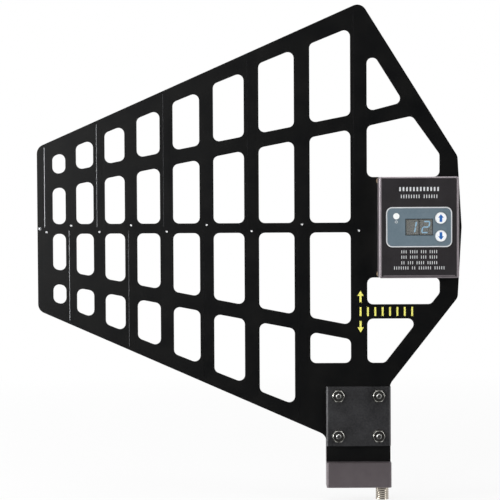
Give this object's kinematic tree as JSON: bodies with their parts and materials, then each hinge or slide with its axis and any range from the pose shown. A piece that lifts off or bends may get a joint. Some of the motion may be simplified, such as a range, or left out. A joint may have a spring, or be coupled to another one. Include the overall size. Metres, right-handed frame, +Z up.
{
  "type": "log periodic antenna",
  "caption": "Flat log periodic antenna: a lattice-cut black circuit board on a threaded clamp mount, with an amplifier box that has a digit display and buttons.",
  "frame": {"origin": "mouth of the stand thread, in the middle of the mount block's lower face", "axes": "+X along the boom away from the short tip, +Y from the front of the board to its back, +Z up along the mount"},
  "size_m": [0.3047, 0.0253, 0.3553],
  "materials": {
    "board": "satin black solder mask",
    "masked_copper": "satin black solder mask over copper",
    "solder": "bright",
    "yellow_print": "matt",
    "gold_plate": "satin",
    "box_paint": "satin",
    "label_film": "fine matt",
    "panel_film": "fine matt",
    "display_plastic": "smooth",
    "lit_segment": "glowing",
    "dark_segment": "smooth",
    "clear_pane": "clear",
    "white_lens": "smooth",
    "lamp_body": "smooth",
    "button_plastic": "smooth",
    "switch_plastic": "matt",
    "inner_board": "satin green solder mask",
    "filter_can": "brushed",
    "chip_plastic": "matt",
    "pin_metal": "bright",
    "screw_steel": "bright",
    "block_anodised": "fine matt anodised",
    "plate_anodised": "fine matt anodised",
    "nut_steel": "bright",
    "jack_nickel": "nickel plated",
    "jack_insulator": "smooth"
  },
  "bodies": {
    "antenna": {"main_board": "board", "front_copper": "masked_copper", "rear_copper": "masked_copper", "tip_solder": "solder", "direction_marks": "yellow_print", "corner_pads": "gold_plate", "amplifier_housing": "box_paint", "front_label": "label_film", "control_panel": "panel_film", "display_body": "display_plastic", "lit_segments": "lit_segment", "dark_segments": "dark_segment", "display_window": "clear_pane", "lamp_lens": "white_lens", "power_lamp": "lamp_body", "button_switches": "switch_plastic", "amplifier_board": "inner_board", "filter_blocks": "filter_can", "amplifier_chips": "chip_plastic", "feed_pins": "pin_metal", "housing_screws": "screw_steel", "mount_block": "block_anodised", "clamp_plate": "plate_anodised", "clamp_screws": "screw_steel", "tooth_washers": "nut_steel", "hex_nuts": "nut_steel", "jack_shell": "jack_nickel", "jack_insulator": "jack_insulator", "jack_contact": "pin_metal"},
    "up_key": {"up_button": "button_plastic"},
    "down_key": {"down_button": "button_plastic"}
  },
  "joints": [
    {"name": "up_press", "type": "slide", "parent": "antenna", "child": "up_key", "axis": [0, 1, 0], "range_m": [0, 0.0004], "stiffness_N_per_m": 500},
    {"name": "down_press", "type": "slide", "parent": "antenna", "child": "down_key", "axis": [0, 1, 0], "range_m": [0, 0.0004], "stiffness_N_per_m": 500}
  ]
}
